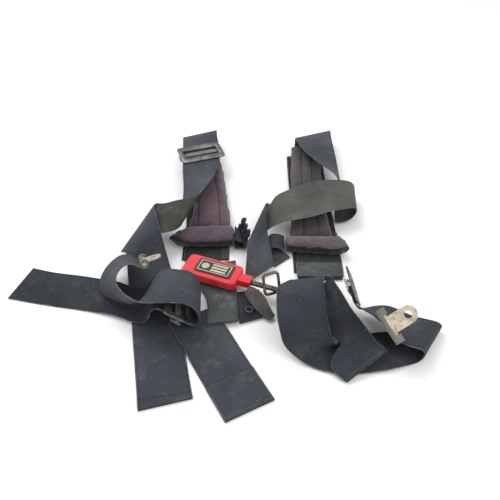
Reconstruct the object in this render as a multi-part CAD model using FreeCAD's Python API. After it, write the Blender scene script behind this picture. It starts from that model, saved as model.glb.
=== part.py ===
"""Four-point off-road safety harness, laid out loosely on a flat surface.

Millimetres, +Z up, +X towards the harness's right half, +Y towards the shoulder ends.
The origin is under the middle of the harness, on the surface that it lies on.
"""

import FreeCAD
import Part
import math
import os

Vector = FreeCAD.Vector

# ---- driving dimensions -------------------------------------------------------------------------
WEBBING_T = 2.2               # 3 inch webbing, 76 wide, weave included
FLOOR_Z = WEBBING_T / 2       # middle of webbing that lies flat on the surface
CHEST_T = 1.8                 # chest strap webbing
PAD_T = 18.0                  # shoulder pad
COVER_T = 1.6                 # pad cover cloth
CUFF_T = 25.0                 # rolled end of a pad
LINER_T = 1.0                 # hook-and-loop liner
PANEL_T = 5.0                 # sewn stack of webbing where shoulder and lap straps meet
HEM_T = 2.0                   # folded end of a strap
FIT_GAP = 0.3                 # between parts that move on each other

SLIDE_LENGTH = 88.0           # three-bar slide, across the webbing
SLIDE_DEPTH = 54.0            # three-bar slide, along the webbing
SLIDE_END_BAR = 11.0
SLIDE_RAIL = 4.5
SLIDE_BAR = 18.0              # middle bar, which the webbing wraps
SLIDE_PLATE = 3.0
SLIDE_GAP = 1.2               # webbing face to steel

SLEEVE_LENGTH = 96.0          # grip sleeve on the latch lever
SLEEVE_WIDTH = 46.0
SLEEVE_T = 15.0
NECK_LENGTH = 20.0
NECK_WIDTH = 17.0
NECK_T = 12.0
BADGE = (62.0, 30.0, 1.6)
EMBLEM_T = 0.5
LEVER_WIDTH = 8.0
LEVER_T = 4.0
TONGUE_T = 3.0
LEVER_PIN_R = 2.5
CHEEK_T = 2.5
CHEEK_X = LEVER_WIDTH / 2 + 0.6 + CHEEK_T / 2
BAIL_R = 2.4                  # wire of the bail
BAIL_HALF = 12.6              # half its width, wire centre
BAIL_TOP = 26.0
BAIL_LOW = -9.0

BRACKET_T = 3.0
BRACKET_BAR_R = 4.0
BRACKET_EYE_R = 13.0
BRACKET_BAR_LENGTH = 48.0
BRACKET_NECK = 26.0
BOLT_HOLE_R = 5.6             # clears a seven-sixteenth inch bolt
LOOP_CLEARANCE = 0.8          # sewn loop of webbing to the bracket bar in it
LOOP_WIDTH = 54.0

BUCKLE_WIDTH = 46.0           # chest buckle for 38 mm webbing
BUCKLE_T = 6.0
PRONG_LENGTH = 20.0
PRONG_SPACING = 29.0

LAYOUT_SHIFT = Vector(-1.2, -1.2, 0.27)

# ---- webbing ------------------------------------------------------------------------------------
# A run of webbing is a list of stations, and a station is its two selvedges, (x, y, z) each.
WEBBING = {
    "left_shoulder_webbing": [
        ((-64, -38, 3.4), (12, -34, 3.4)),
        ((-66, 40, 3.4), (10, 46, 3.4)),
        ((-77, 160, 3.4), (-2, 172, 3.4)),
        ((-91, 308, 3.4), (-22, 339, 3.4)),
    ],
    "left_shoulder_tail": [
        ((-92, 316, 8), (-23, 347, 8)),
        ((-92, 322, 26), (-23, 353, 26)),
        ((-91, 306, 40), (-21, 336, 40)),
        ((-89, 282, 43), (-19, 308, 43)),
        ((-87, 256, 42), (-15, 281, 42)),
        ((-85, 228, 41), (-13, 253, 41)),
        ((-83, 200, 40), (-11, 225, 40)),
        ((-80, 170, 39), (-15, 190, 40)),
        ((-75, 120, 37), (-20, 150, 48)),
        ((-72, 66, 38), (-30, 116, 54)),
        ((-70, 14, 40), (-38, 92, 58)),
        ((-84, -8, 44), (-50, 68, 62)),
        ((-104, -12, 42), (-78, 60, 60)),
        ((-132, -8, 26), (-106, 72, 44)),
        ((-163, -22, 16), (-121, 80, 38)),
        ((-158, -46, 26), (-106, 0, 56)),
        ((-155, -62, 16), (-95, -28, 26)),
        ((-149, -97, 5), (-75, -88, 5)),
        ((-143, -128, 2), (-67, -124, 2)),
        ((-136, -160, FLOOR_Z), (-60, -160, FLOOR_Z)),
        ((-127, -206, FLOOR_Z), (-51, -206, FLOOR_Z)),
        ((-118, -251, FLOOR_Z), (-42, -251, FLOOR_Z)),
        ((-101, -336, FLOOR_Z), (-28, -316, FLOOR_Z)),
    ],
    "left_adjuster_tail": [
        ((-75, -183, 4.0), (-8, -147, 4.0)),
        ((-62, -207, 4.0), (5, -171, 4.0)),
        ((-50, -229, 3.9), (17, -193, 3.9)),
        ((-34, -259, 2.4), (33, -223, 2.4)),
        ((-20, -285, 1.3), (47, -249, 1.3)),
        ((-2, -319, FLOOR_Z), (65, -283, FLOOR_Z)),
        ((17, -354, FLOOR_Z), (84, -318, FLOOR_Z)),
    ],
    "left_lap_tail": [
        ((-59.7, -194, 29.1), (-63.9, -118, 29.1)),
        ((-67.6, -194, 35.2), (-71.8, -118, 35.2)),
        ((-75.5, -194, 41.3), (-79.7, -118, 41.3)),
        ((-83.4, -194, 47.2), (-87.6, -118, 47.2)),
        ((-92, -193.5, 47), (-97, -118, 46)),
        ((-101, -192, 30), (-108, -117, 29)),
        ((-111, -189, 14), (-120, -115, 15)),
        ((-127, -183, 7.5), (-137, -109, 9)),
        ((-152, -171, 6.3), (-161, -96, 8)),
        ((-186, -159, 3.4), (-194, -84, 4)),
        ((-225, -150, 1.3), (-228, -74, 1.3)),
        ((-268, -142, FLOOR_Z), (-268, -67, FLOOR_Z)),
        ((-339, -126, FLOOR_Z), (-317, -54, FLOOR_Z)),
    ],
    "left_lap_strap": [
        ((-58.1, -194, 27.9), (-62.3, -118, 27.9)),
        ((-47.8, -194, 19.9), (-52.0, -118, 19.9)),
        ((-37.5, -194, 12.0), (-41.7, -118, 12.0)),
        ((-29, -194, 14), (-33, -118, 14)),
        ((-26, -196, 34), (-30, -120, 32)),
        ((-38, -198, 60), (-43, -122, 57)),
        ((-60, -198, 66), (-64, -122, 62)),
        ((-86, -199, 67), (-91, -125, 57)),
        ((-108, -197, 66), (-119, -148, 22)),
        ((-134, -180, 66), (-164, -141, 14)),
        ((-150, -156, 67), (-188, -122, 14)),
        ((-150, -132, 68), (-189, -91, 24)),
        ((-134, -121, 71), (-160, -56, 33)),
        ((-119.4, -125.6, 69.3), (-136.4, -64.2, 32.3)),
    ],
    "right_shoulder_webbing": [
        ((129, -84, 3.4), (204, -84, 3.4)),
        ((131, -20, 3.4), (206, -20, 3.4)),
        ((128, 120, 3.4), (203, 120, 3.4)),
        ((128, 290, 3.4), (202, 306, 3.4)),
    ],
    "right_shoulder_fold": [
        ((146, 318, 8), (222, 350, 8)),
        ((146, 322, 26), (224, 354, 26)),
        ((147, 296, 40), (222, 328, 40)),
        ((169, 226, 47), (222, 268, 40)),
        ((197, 172, 54), (224, 216, 32)),
        ((216, 134, 52), (228, 190, 14)),
        ((214, 112, 34), (232, 166, 7)),
    ],
    "right_shoulder_tail": [
        ((206, 62, 7), (212, 136, 7)),
        ((222, 66, 5), (230, 140, 5)),
        ((240, 70, 14), (248, 144, 16)),
        ((244, 70, 30), (246, 140, 38)),
        ((224, 58, 42), (218, 128, 56)),
        ((193, 50, 42), (190, 122, 60)),
        ((156, 34, 42), (147, 108, 60)),
        ((120, 28, 38), (116, 102, 50)),
        ((90, 26, 26), (96, 98, 38)),
        ((66, 10, 17), (88, 92, 28)),
        ((47, -18, 24), (81, 84, 36)),
        ((45, -36, 31), (78, 38, 46)),
        ((44, -56, 24), (80, 10, 32)),
        ((42, -76, 10), (85, -28, 25)),
        ((39, -95, 1.6), (90, -61, 13)),
    ],
    "right_lap_strap": [
        ((114, -92, 9), (188, -84, 9)),
        ((100, -128, 36), (172, -108, 36)),
        ((90, -166, 62), (163, -140, 60)),
        ((88, -194, 72), (160, -168, 68)),
        ((88, -222, 66), (160, -198, 62)),
        ((94, -240, 42), (165, -224, 40)),
        ((108, -247, 15), (178, -232, 14)),
        ((134, -262, 4.4), (190, -214, 7)),
        ((176, -276, 3.4), (206, -206, 5)),
        ((224, -274, 3.2), (236, -200, 3.6)),
        ((268, -264, 3.5), (300, -196, 3.2)),
        ((298, -254, 9), (340, -192, 7)),
        ((297, -256, 26), (334, -196, 21)),
        ((268, -250, 36), (298, -184, 23)),
        ((240, -224, 50), (262, -160, 20)),
        ((219, -211, 61), (238, -157, 14)),
        ((200, -203.1, 71.5), (217.8, -157.5, 13.5)),
        ((196.6, -192, 79.3), (214.4, -146.3, 21.3)),
        ((193.1, -180.8, 87), (210.9, -135.2, 29)),
        ((191.1, -174.4, 91.4), (208.9, -128.8, 33.4)),
    ],
    "right_adjuster_tail": [
        ((124, -158, 18), (177, -123, 46)),
        ((138, -188, 16), (190, -154, 44)),
        ((165, -216, 18), (202, -184, 39)),
        ((181, -235, 20), (210, -199, 37)),
        ((171, -251, 19), (218, -213, 34)),
        ((165, -271, 12), (231, -232, 28)),
        ((186, -291, 3), (247, -250, 22)),
    ],
}

# Chest strap: 38 mm webbing, looped through the buckle on the left, a loose end on the right.
CHEST_WEBBING = {
    "chest_strap_left": [
        ((23.6, -8, 24), (23.4, 29, 26)),
        ((34.9, -6.3, 17.8), (25.4, 30.3, 21.4)),
        ((41.2, -4.4, 11.2), (31.7, 32.2, 15.2)),
        ((44.6, -3.3, 7.2), (35.1, 33.3, 11.2)),
        ((43, -3.5, 2.8), (33.6, 33.1, 6.9)),
        ((39, -4.7, 2.3), (29.5, 31.9, 6.3)),
        ((32.6, -6.5, 4.7), (25, 30, 8.2)),
        ((23.6, -8, 4.5), (23.4, 29, 5.5)),
    ],
    "chest_strap_right": [
        ((110, -19, 11), (110, 19, 11)),
        ((98, -20, 17), (98, 18, 17)),
        ((82, -22, 14), (84, 16, 14)),
        ((76, -28, 7), (84, 9, 7)),
        ((84, -42, 3.2), (106, -11, 3.2)),
        ((92, -52, 1.2), (120, -27, 1.2)),
    ],
}

# Pads: the two side edges of each pad at half its thickness.
PADS = {
    "left_shoulder_pad": [
        ((-62, 30, 14), (19, 36, 14)),
        ((-66, 122, 14), (16, 107, 14)),
        ((-74, 165, 14), (9, 165, 14)),
        ((-88, 262, 14), (-6, 262, 14)),
        ((-92, 300, 14), (-24, 330, 14)),
    ],
    "right_shoulder_pad": [
        ((116, 4, 14), (199, 4, 14)),
        ((121, 120, 14), (200, 120, 14)),
        ((126, 230, 14), (202, 230, 14)),
        ((134, 314, 14), (200, 326, 14)),
    ],
}


# ---- shared shapes ------------------------------------------------------------------------------
def vectors(points):
    return [Vector(*point) for point in points]


def smooth_curve(points, parameters):
    curve = Part.BSplineCurve()
    curve.interpolate(Points=points, Parameters=parameters)
    return curve


def ruled_face(first, second):
    """Face between two curves that share their knots."""
    poles = [[a, b] for a, b in zip(first.getPoles(), second.getPoles())]
    surface = Part.BSplineSurface()
    surface.buildFromPolesMultsKnots(
        poles, first.getMultiplicities(), [2, 2], first.getKnots(), [0.0, 1.0],
        False, False, first.Degree, 1,
    )
    return surface.toShape()


def ribbon(stations, thickness, steps=3):
    """A closed solid of even thickness that follows two selvedges."""
    left = vectors(station[0] for station in stations)
    right = vectors(station[1] for station in stations)
    middle = [(a + b) * 0.5 for a, b in zip(left, right)]
    knots = [0.0]
    for a, b in zip(middle, middle[1:]):
        knots.append(knots[-1] + a.distanceToPoint(b))
    left_curve = smooth_curve(left, knots)
    right_curve = smooth_curve(right, knots)
    parameters = [a + (b - a) * k / steps for a, b in zip(knots, knots[1:]) for k in range(steps)]
    parameters.append(knots[-1])
    rows = [[], [], [], []]
    for t in parameters:
        p, q = left_curve.value(t), right_curve.value(t)
        along = left_curve.getD1(t)[1] + right_curve.getD1(t)[1]
        normal = along.cross(q - p)
        offset = normal.normalize() * (thickness / 2)
        for row, corner in zip(rows, (p + offset, q + offset, q - offset, p - offset)):
            row.append(corner)
    curves = [smooth_curve(row, parameters) for row in rows]
    faces = [ruled_face(curves[i], curves[(i + 1) % 4]) for i in range(4)]
    for end in (0, -1):
        corners = [row[end] for row in rows]
        faces.append(Part.Face(Part.makePolygon(corners + corners[:1])))
    shell = Part.Shell(faces)
    shell.sewShape()
    solid = Part.Solid(shell)
    if solid.Volume < 0:
        solid.reverse()
    return solid


def frame(origin, along, across):
    """Placement whose local X runs across the webbing and local Y along it."""
    x_axis = Vector(*across).normalize()
    y_axis = Vector(*along)
    y_axis = (y_axis - x_axis * y_axis.dot(x_axis)).normalize()
    z_axis = x_axis.cross(y_axis)
    base = Vector(*origin)
    matrix = FreeCAD.Matrix(
        x_axis.x, y_axis.x, z_axis.x, base.x,
        x_axis.y, y_axis.y, z_axis.y, base.y,
        x_axis.z, y_axis.z, z_axis.z, base.z,
        0, 0, 0, 1,
    )
    return FreeCAD.Placement(matrix)


def placed(shape, placement):
    moved = shape.copy()
    moved.Placement = placement.multiply(moved.Placement)
    return moved


def box(size_x, size_y, low_z, high_z, centre=(0.0, 0.0)):
    """Box centred in x and y, between two heights."""
    corner = Vector(centre[0] - size_x / 2, centre[1] - size_y / 2, low_z)
    return Part.makeBox(size_x, size_y, high_z - low_z, corner)


def rounded(shape, radius, axis):
    """Fillets the straight edges that run along one axis."""
    chosen = []
    for edge in shape.Edges:
        if edge.Curve.TypeId == "Part::GeomLine":
            direction = edge.tangentAt(edge.FirstParameter)
            if abs(direction.dot(axis)) > 0.99:
                chosen.append(edge)
    return shape.makeFillet(radius, chosen)


def cylinder_x(radius, length, y=0.0, z=0.0):
    return Part.makeCylinder(radius, length, Vector(-length / 2, y, z), Vector(1, 0, 0))


X_AXIS = Vector(1, 0, 0)
Z_AXIS = Vector(0, 0, 1)
parts = {}


# ---- webbing, hems and pads ---------------------------------------------------------------------
for name, stations in WEBBING.items():
    parts[name] = ribbon(stations, WEBBING_T)
for name, stations in CHEST_WEBBING.items():
    parts[name] = ribbon(stations, CHEST_T)


def hem(selvedges, along, length, gap=0.1):
    """Second layer of webbing, sewn on top of the end of a strap."""
    left, right = vectors(selvedges)
    middle = (left + right) * 0.5
    place = frame(middle, along, right - left)
    width = left.distanceToPoint(right) - 1.0
    low = WEBBING_T / 2 + gap
    return placed(box(width, length, low, low + HEM_T, (0, length / 2)), place)


tail_end = WEBBING["left_shoulder_tail"][-1]
parts["left_shoulder_tail_hem"] = hem(tail_end, (-17, 85, 0), 12.0)
adjuster_end = WEBBING["left_adjuster_tail"][-1]
parts["left_adjuster_tail_hem"] = hem(adjuster_end, (-41, 76, 0), 62.0)


def inset(stations, distance):
    """Stations of a smaller pad inside another."""
    inner = []
    last = len(stations) - 1
    for i, station in enumerate(stations):
        left, right = vectors(station)
        side = (right - left).normalize() * distance
        end = Vector(0, distance, 0) if i == 0 else Vector(0, -distance, 0) if i == last else Vector()
        inner.append((tuple(left + side + end), tuple(right - side + end)))
    return inner


for name, stations in PADS.items():
    outer = ribbon(stations, PAD_T)
    hollow = ribbon(inset(stations, COVER_T), PAD_T - 2 * COVER_T)
    core = ribbon(inset(stations, COVER_T + FIT_GAP), PAD_T - 2 * COVER_T - 2 * FIT_GAP)
    parts[name + "_cover"] = outer.cut(hollow)
    parts[name + "_foam"] = core


def cuff(corners, low_z):
    """Rolled end of a pad: a rounded bolster over the pad's lower edge."""
    points = [Vector(x, y, low_z) for x, y in corners]
    outline = Part.Face(Part.makePolygon(points + points[:1]))
    body = outline.extrude(Vector(0, 0, CUFF_T))
    upper = [e for e in body.Edges if min(v.Z for v in e.Vertexes) > low_z + CUFF_T - 0.1]
    return body.makeFillet(CUFF_T * 0.35, upper)


LEFT_CUFF = [(-92, 8), (-64, -4), (20, 2), (22, 29), (-62, 24)]
RIGHT_CUFF = [(112, -22), (200, -32), (220, -24), (204, 3), (114, 3)]
parts["left_pad_cuff"] = cuff(LEFT_CUFF, 4.8)
parts["right_pad_cuff"] = cuff(RIGHT_CUFF, 4.8)


def liner(x_low, x_high, y_low, y_high):
    """Hook-and-loop liner that lies under the webbing, on the surface."""
    return Part.makeBox(x_high - x_low, y_high - y_low, LINER_T, Vector(x_low, y_low, 0.2))


parts["left_pad_liner"] = liner(-68, 14, -34, 56)
parts["right_pad_liner"] = liner(124, 208, -66, 40)


# ---- hip panels: shoulder webbing, lap webbing and latch webbing sewn in a stack -----------------
def panel(corners, low_z, thickness):
    points = [Vector(x, y, low_z) for x, y in corners]
    return Part.Face(Part.makePolygon(points + points[:1])).extrude(Vector(0, 0, thickness))


parts["left_hip_panel"] = panel([(-60, -62), (26, -44), (32, -180), (-16, -188), (-24, -120)], 5.4, PANEL_T)
parts["right_hip_panel"] = panel([(128, -80), (206, -80), (206, -46), (128, -46)], 4.7, 3.0)


# ---- three-bar slides ---------------------------------------------------------------------------
def three_bar_slide(place):
    """Outer frame over the webbing and a knurled middle bar under it, as two pieces."""
    clear = WEBBING_T / 2 + SLIDE_GAP
    outer = rounded(box(SLIDE_LENGTH, SLIDE_DEPTH, clear, clear + SLIDE_PLATE), 6.0, Z_AXIS)
    window_length = SLIDE_LENGTH - 2 * SLIDE_RAIL
    window = box(window_length, SLIDE_DEPTH - 2 * SLIDE_END_BAR, clear, clear + SLIDE_PLATE)
    outer = outer.cut(window)
    bar = box(SLIDE_LENGTH, SLIDE_BAR, -clear - SLIDE_PLATE, -clear)
    bar = rounded(bar, 1.2, X_AXIS)
    for side in (-1, 1):
        leg_x = side * (SLIDE_LENGTH - SLIDE_RAIL) / 2
        bar = bar.fuse(box(SLIDE_RAIL, 6, -clear - 0.5, clear, (leg_x, 0)))
    return placed(outer, place), placed(bar.removeSplitter(), place)


SLIDES = {
    "left_shoulder_slide": frame((-49.2, 242, 41.05), (-0.071, 1, 0.036), (72, 25, 0)),
    "left_lap_slide": frame((-61, -156, 28.5), (0.79, 0.04, -0.61), (0.055, -0.998, 0)),
    "right_lap_slide": frame((202, -158, 58), (-0.245, 0.797, 0.552), (0.234, 0.601, -0.764)),
}
for name, place in SLIDES.items():
    parts[name + "_frame"], parts[name + "_bar"] = three_bar_slide(place)


# ---- latch: lever, grip sleeve, bail, base, hook and tongue --------------------------------------
# Local frame of the latch: origin at the hinge pin, +Y towards the hook, lever along -Y.
LATCH = frame((104, -131, 22), (0.93, -0.367, 0), (-0.367, -0.93, 0))
LEVER_REACH = 56.0            # pin to the neck of the sleeve

lever = box(LEVER_WIDTH, LEVER_REACH + 60, -LEVER_T / 2, LEVER_T / 2, (0, -(LEVER_REACH + 60) / 2))
lever = lever.fuse(cylinder_x(5.5, LEVER_WIDTH))
lever = lever.cut(cylinder_x(LEVER_PIN_R + FIT_GAP / 2, LEVER_WIDTH + 2))

neck_start = -LEVER_REACH
body_start = neck_start - NECK_LENGTH
body_end = body_start - SLEEVE_LENGTH
sleeve = box(SLEEVE_WIDTH, SLEEVE_LENGTH, -SLEEVE_T / 2, SLEEVE_T / 2, (0, (body_start + body_end) / 2))
sleeve = rounded(sleeve, 9.0, Z_AXIS)
sleeve_rims = [e for e in sleeve.Edges if abs(e.BoundBox.ZLength) < 0.01]
sleeve = sleeve.makeFillet(2.5, sleeve_rims)
neck = box(NECK_WIDTH, NECK_LENGTH + 4, -NECK_T / 2, NECK_T / 2, (0, neck_start - (NECK_LENGTH + 4) / 2))
sleeve = sleeve.fuse(neck).removeSplitter()
socket = box(LEVER_WIDTH, 62, -LEVER_T / 2, LEVER_T / 2, (0, neck_start - 31))
sleeve = sleeve.cut(socket)
badge_middle = (-1.0, (body_start + body_end) / 2 + 4)
badge = box(BADGE[1], BADGE[0], SLEEVE_T / 2, SLEEVE_T / 2 + BADGE[2], badge_middle)
badge = rounded(badge, 3.0, Z_AXIS)
badge_top = SLEEVE_T / 2 + BADGE[2]
rim = box(BADGE[1] - 6, BADGE[0] - 8, badge_top, badge_top + EMBLEM_T, badge_middle)
rim = rim.cut(box(BADGE[1] - 9, BADGE[0] - 11, badge_top, badge_top + EMBLEM_T, badge_middle))
disc_y = badge_middle[1] - BADGE[0] / 2 + 15
disc = Part.makeCylinder(6.5, EMBLEM_T, Vector(badge_middle[0], disc_y, badge_top))
bars = [
    box(4.0, 26.0, badge_top, badge_top + EMBLEM_T, (badge_middle[0] + offset, disc_y + 24))
    for offset in (-6.5, 0.0, 6.5)
]
emblem = Part.Compound([rim, disc] + bars)

# Base plate with two cheeks that carry the hinge pin, and the hook beside it.
base = box(24, 26, -12, -9.5, (0, 12))
for side in (-1, 1):
    cheek = box(CHEEK_T, 12, -10, 5, (side * CHEEK_X, 1))
    base = base.fuse(cheek)
base = base.cut(cylinder_x(LEVER_PIN_R, 40)).removeSplitter()
pin = cylinder_x(LEVER_PIN_R, 2 * CHEEK_X + CHEEK_T + 3)
hook = box(10, 4, -9.5, 9, (0, 19)).fuse(box(10, 9, 5.5, 9, (0, 16.5))).removeSplitter()

for name, shape in {
    "latch_lever": lever,
    "lever_sleeve": sleeve,
    "sleeve_badge": badge,
    "badge_emblem": emblem,
    "latch_base": base,
    "latch_hinge_pin": pin,
    "latch_hook": hook,
}.items():
    parts[name] = placed(shape, LATCH)

# The bail is a wire ring that stands round the lever and tilts on it.
BAIL = frame((85, -123.5, 22), (-0.1, 0.33, 0.94), (0.93, 0.37, 0))
bail_corners = vectors([
    (-BAIL_HALF, BAIL_LOW, 0), (BAIL_HALF, BAIL_LOW, 0),
    (BAIL_HALF, BAIL_TOP, 0), (-BAIL_HALF, BAIL_TOP, 0),
])
bail = None
for i, start in enumerate(bail_corners):
    end = bail_corners[(i + 1) % 4]
    run = Part.makeCylinder(BAIL_R, start.distanceToPoint(end), start, end - start)
    run = run.fuse(Part.makeSphere(BAIL_R, start))
    bail = run if bail is None else bail.fuse(run)
parts["latch_bail"] = placed(bail.removeSplitter(), BAIL)

TONGUE_PLATE = [
    ((41, -134, 20), (48, -120, 24)),
    ((48, -144, 15), (64, -128, 21)),
    ((59, -159, 10), (76, -143, 16)),
    ((69, -168, 6.5), (82, -157, 11)),
    ((81, -176, 4), (89, -167, 6)),
]
TONGUE_WEBBING = [
    ((34, -120, 8), (62, -114, 8)),
    ((37, -148, 8), (63, -142, 7)),
    ((41, -178, 3), (66, -166, 2.6)),
]
parts["latch_tongue"] = ribbon(TONGUE_PLATE, TONGUE_T)
parts["tongue_webbing"] = ribbon(TONGUE_WEBBING, CHEST_T)
ring = Part.makeTorus(5.5, 1.5, Vector(49, -158, 9.6))
parts["tongue_ring"] = ring


# ---- anchor brackets ----------------------------------------------------------------------------
def anchor_bracket(reach):
    """T-shaped plate: a bar that webbing wraps along local X, and a bolt eye along local Y."""
    bar = cylinder_x(BRACKET_BAR_R, BRACKET_BAR_LENGTH)
    half = BRACKET_T / 2
    neck = box(BRACKET_NECK, reach, -half, half, (0, reach / 2))
    eye = Part.makeCylinder(BRACKET_EYE_R, BRACKET_T, Vector(0, reach, -half))
    hole = Part.makeCylinder(BOLT_HOLE_R, BRACKET_T + 2, Vector(0, reach, -half - 1))
    return bar.fuse(neck).fuse(eye).cut(hole).removeSplitter()


def bracket_loop():
    """Sewn loop of webbing round the bracket bar, cut away where the eye swings."""
    inner = BRACKET_BAR_R + LOOP_CLEARANCE
    loop = cylinder_x(inner + WEBBING_T, LOOP_WIDTH).cut(cylinder_x(inner, LOOP_WIDTH + 2))
    reach = inner + WEBBING_T + 1
    return loop.cut(box(BRACKET_NECK + 6, reach, -reach, reach, (0, reach / 2)))


BRACKETS = {
    "left_bracket": (frame((-120, -92, 52), (0.94, 0.34, 0.13), (-0.23, 0.83, -0.5)), 16.0),
    "right_bracket": (frame((245, -240, 64), (0.821, 0.244, 0.516), (-0.514, 0.712, 0.481)), 30.0),
}
for name, (place, reach) in BRACKETS.items():
    parts[name] = placed(anchor_bracket(reach), place)
    parts[name + "_loop"] = placed(bracket_loop(), place)

# ---- chest buckle -------------------------------------------------------------------------------
BUCKLE = frame((37, 14, 15.6), (0.24, 0.03, 0.96), (0.25, -0.964, -0.107))
half_t = BUCKLE_T / 2
ladder = box(BUCKLE_WIDTH, 17, -half_t, half_t, (0, 0))
ladder = ladder.cut(box(BUCKLE_WIDTH - 6, 7.0, -half_t, half_t, (0, -2.5)))
guide = box(6, PRONG_LENGTH, -half_t + 1, half_t - 1, (0, 8 + PRONG_LENGTH / 2))
ladder = ladder.fuse(guide).removeSplitter()
parts["chest_buckle"] = placed(ladder, BUCKLE)
for name, side in (("chest_prong_left", -1), ("chest_prong_right", 1)):
    arm_x = side * PRONG_SPACING / 2
    low_y = 8.5 + FIT_GAP
    arm = box(4.5, PRONG_LENGTH, -half_t, half_t, (arm_x, low_y + PRONG_LENGTH / 2))
    barb = box(4, 8, -half_t, half_t, (arm_x + side * 3, low_y + PRONG_LENGTH - 9))
    parts[name] = placed(arm.fuse(barb).removeSplitter(), BUCKLE)

# ---- centre the layout over the origin and write the sub-parts ----------------------------------
os.makedirs("parts", exist_ok=True)
for name, shape in parts.items():
    if not shape.isValid():
        print("not valid:", name)
    shape.translate(LAYOUT_SHIFT)
    shape.exportStep(f"parts/{name}.step")
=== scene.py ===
"""Looks of the four-point safety harness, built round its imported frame.

Sizes and places are in millimetres in the CAD frame, and MM turns them into Blender's metres.
"""

import math

import bpy
import numpy as np
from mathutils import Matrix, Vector, noise
from mathutils.bvhtree import BVHTree


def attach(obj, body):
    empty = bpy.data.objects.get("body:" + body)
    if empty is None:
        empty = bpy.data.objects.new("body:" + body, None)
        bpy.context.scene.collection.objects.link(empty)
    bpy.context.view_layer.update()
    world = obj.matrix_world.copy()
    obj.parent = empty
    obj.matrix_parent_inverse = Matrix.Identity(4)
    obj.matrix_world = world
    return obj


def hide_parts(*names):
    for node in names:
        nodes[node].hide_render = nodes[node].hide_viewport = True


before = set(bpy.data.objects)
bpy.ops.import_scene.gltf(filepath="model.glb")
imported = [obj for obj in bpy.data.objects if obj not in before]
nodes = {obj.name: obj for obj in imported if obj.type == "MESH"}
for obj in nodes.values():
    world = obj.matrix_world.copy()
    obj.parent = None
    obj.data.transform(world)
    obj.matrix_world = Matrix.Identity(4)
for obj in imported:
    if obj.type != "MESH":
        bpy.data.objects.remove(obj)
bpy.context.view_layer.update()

MM = 0.001
SHIFT = np.array((-1.2, -1.2, 0.27))   # the layout's shift to the middle of its box, as in the CAD
FLOOR_Z = 1.1
WEBBING_T = 2.0
CHEST_T = 1.7
PAD_T = 15.5
PUFF = 5.0                             # furthest a point of a pad moves when it is inflated
CUFF_LOW = 5.2
CUFF_T = 25.5
SLIDE_PLATE = (88.0, 54.0)
SLIDE_WINDOW = (68.0, 25.0)
SLIDE_PLATE_T = 3.0
GRIP_LENGTH = 70.0

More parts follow.
